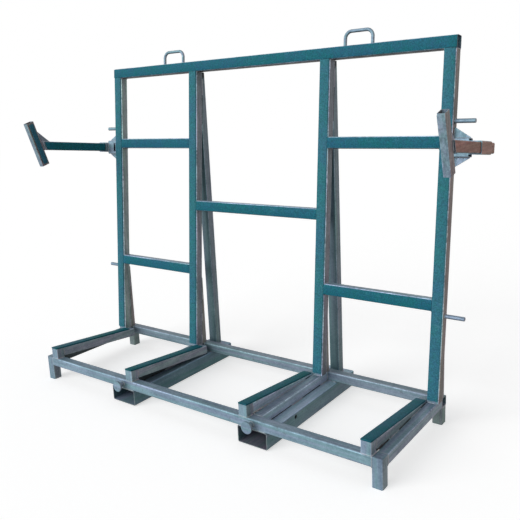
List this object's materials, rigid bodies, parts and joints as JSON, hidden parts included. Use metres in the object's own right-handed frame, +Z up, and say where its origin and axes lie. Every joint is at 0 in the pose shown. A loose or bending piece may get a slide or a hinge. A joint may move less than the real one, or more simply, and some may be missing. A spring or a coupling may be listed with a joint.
{
  "type": "stone slab rack",
  "caption": "Galvanised transport rack with a leaning rubber-faced backrest, sloping bearers, fork pockets, lifting eyes and sliding end arms for stone slabs.",
  "frame": {"origin": "on the floor under the middle of the whole rack", "axes": "+X along the rack to the right seen from the front, +Y from the front to the back, +Z up"},
  "size_m": [2.9512, 1.0772, 2.2449],
  "materials": {
    "galvanised_steel": "hot-dip galvanised, matt",
    "backrest_rubber": "matt, teal",
    "dark_rubber": "matt, dark teal"
  },
  "bodies": {
    "rack_frame": {"front_rail": "galvanised_steel", "rear_rail": "galvanised_steel", "left_side_rail": "galvanised_steel", "right_side_rail": "galvanised_steel", "left_inner_rail": "galvanised_steel", "right_inner_rail": "galvanised_steel", "front_legs": "galvanised_steel", "rear_legs": "galvanised_steel", "left_fork_pocket": "galvanised_steel", "right_fork_pocket": "galvanised_steel", "left_outer_bearer": "galvanised_steel", "left_inner_bearer": "galvanised_steel", "right_inner_bearer": "galvanised_steel", "right_outer_bearer": "galvanised_steel", "bearer_posts": "galvanised_steel", "left_outer_upright": "galvanised_steel", "left_inner_upright": "galvanised_steel", "right_inner_upright": "galvanised_steel", "right_outer_upright": "galvanised_steel", "top_rail": "galvanised_steel", "upper_cross_rails": "galvanised_steel", "lower_cross_rails": "galvanised_steel", "centre_cross_rail": "galvanised_steel", "upright_stiffeners": "galvanised_steel", "left_brace": "galvanised_steel", "right_brace": "galvanised_steel", "left_lifting_eye": "galvanised_steel", "right_lifting_eye": "galvanised_steel", "lashing_pins": "galvanised_steel", "lashing_studs": "galvanised_steel", "left_stub": "galvanised_steel", "right_stub": "galvanised_steel", "left_gussets": "galvanised_steel", "right_gussets": "galvanised_steel", "left_sleeve": "galvanised_steel", "right_sleeve": "galvanised_steel", "bearer_rubbers": "dark_rubber", "upright_rubbers": "backrest_rubber", "top_rail_rubber": "backrest_rubber", "cross_rail_rubbers": "backrest_rubber"},
    "left_end_arm": {"left_arm": "galvanised_steel", "left_arm_rubber": "dark_rubber", "left_pad": "galvanised_steel", "left_pad_rubber": "dark_rubber", "left_pad_gusset": "galvanised_steel"},
    "right_end_arm": {"right_arm": "galvanised_steel", "right_arm_rubber": "dark_rubber", "right_pad": "galvanised_steel", "right_pad_rubber": "dark_rubber", "right_pad_gusset": "galvanised_steel"}
  },
  "joints": [
    {"name": "left_arm_slide", "type": "slide", "parent": "rack_frame", "child": "left_end_arm", "axis": [0, 0.9956, -0.0941], "range_m": [0, 0.48]},
    {"name": "right_arm_slide", "type": "slide", "parent": "rack_frame", "child": "right_end_arm", "axis": [0, 0.9956, -0.0941], "range_m": [-0.18, 0.3]}
  ]
}
